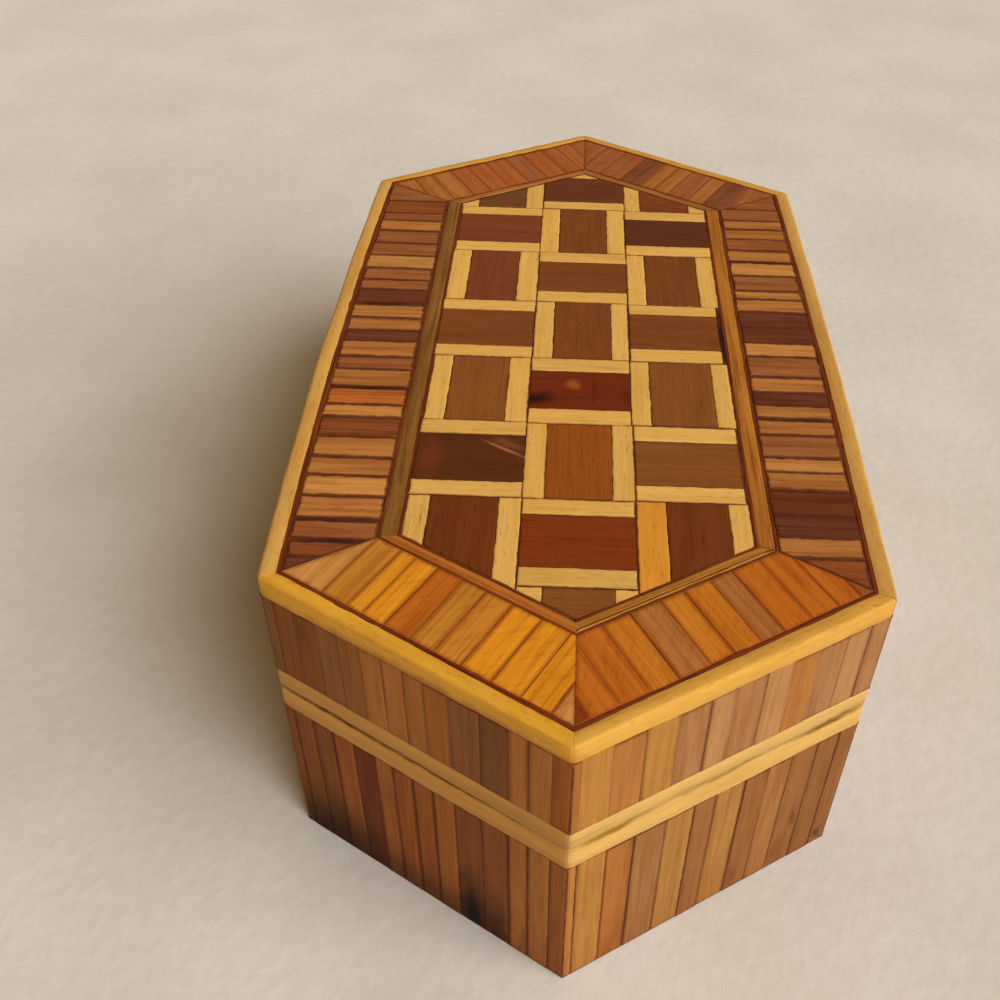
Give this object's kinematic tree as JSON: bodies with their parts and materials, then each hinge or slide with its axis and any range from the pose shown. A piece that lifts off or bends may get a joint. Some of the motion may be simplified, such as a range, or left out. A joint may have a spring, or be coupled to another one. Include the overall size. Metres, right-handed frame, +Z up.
{
  "type": "inlaid trinket box",
  "caption": "Small wooden trinket box on an elongated hexagonal plan, faced with staves, with a parquet-inlaid lid that lifts off an inner lip.",
  "frame": {"origin": "centre of the underside", "axes": "+Z up, +Y along the length towards the back point, +X to the right seen from the front point"},
  "size_m": [0.062, 0.118, 0.0425],
  "materials": {
    "core_wood": "matt bare wood",
    "pale_wood": "satin varnish",
    "stave_wood": "satin varnish",
    "chip_wood": "satin varnish",
    "purfling_wood": "satin varnish",
    "walnut_wood": "satin varnish",
    "red_wood": "satin varnish",
    "dark_line": "satin varnish"
  },
  "bodies": {
    "base": {"base_floor": "core_wood", "base_wall_front_right": "core_wood", "base_wall_right": "core_wood", "base_wall_back_right": "core_wood", "base_wall_back_left": "core_wood", "base_wall_left": "core_wood", "base_wall_front_left": "core_wood", "base_staves_front_right": "stave_wood", "base_staves_right": "stave_wood", "base_staves_back_right": "stave_wood", "base_staves_back_left": "stave_wood", "base_staves_left": "stave_wood", "base_staves_front_left": "stave_wood", "base_rim_front_right": "pale_wood", "base_rim_right": "pale_wood", "base_rim_back_right": "pale_wood", "base_rim_back_left": "pale_wood", "base_rim_left": "pale_wood", "base_rim_front_left": "pale_wood", "base_liner_front_right": "pale_wood", "base_liner_right": "pale_wood", "base_liner_back_right": "pale_wood", "base_liner_back_left": "pale_wood", "base_liner_left": "pale_wood", "base_liner_front_left": "pale_wood"},
    "lid": {"lid_panel": "core_wood", "lid_edging": "pale_wood", "outer_line": "dark_line", "inner_line": "dark_line", "purfling": "purfling_wood", "field_line": "dark_line", "parquet_strips": "pale_wood", "parquet_blocks_plain": "walnut_wood", "parquet_blocks_red": "red_wood", "lid_wall_front_right": "core_wood", "lid_wall_right": "core_wood", "lid_wall_back_right": "core_wood", "lid_wall_back_left": "core_wood", "lid_wall_left": "core_wood", "lid_wall_front_left": "core_wood", "lid_staves_front_right": "stave_wood", "lid_staves_right": "stave_wood", "lid_staves_back_right": "stave_wood", "lid_staves_back_left": "stave_wood", "lid_staves_left": "stave_wood", "lid_staves_front_left": "stave_wood", "lid_rim_front_right": "pale_wood", "lid_rim_right": "pale_wood", "lid_rim_back_right": "pale_wood", "lid_rim_back_left": "pale_wood", "lid_rim_left": "pale_wood", "lid_rim_front_left": "pale_wood", "border_chips_front_right": "chip_wood", "border_chips_right": "chip_wood", "border_chips_back_right": "chip_wood", "border_chips_back_left": "chip_wood", "border_chips_left": "chip_wood", "border_chips_front_left": "chip_wood"}
  },
  "joints": [
    {"name": "lid_lift", "type": "slide", "parent": "base", "child": "lid", "axis": [0, 0, 1], "range_m": [0, 0.04]}
  ]
}
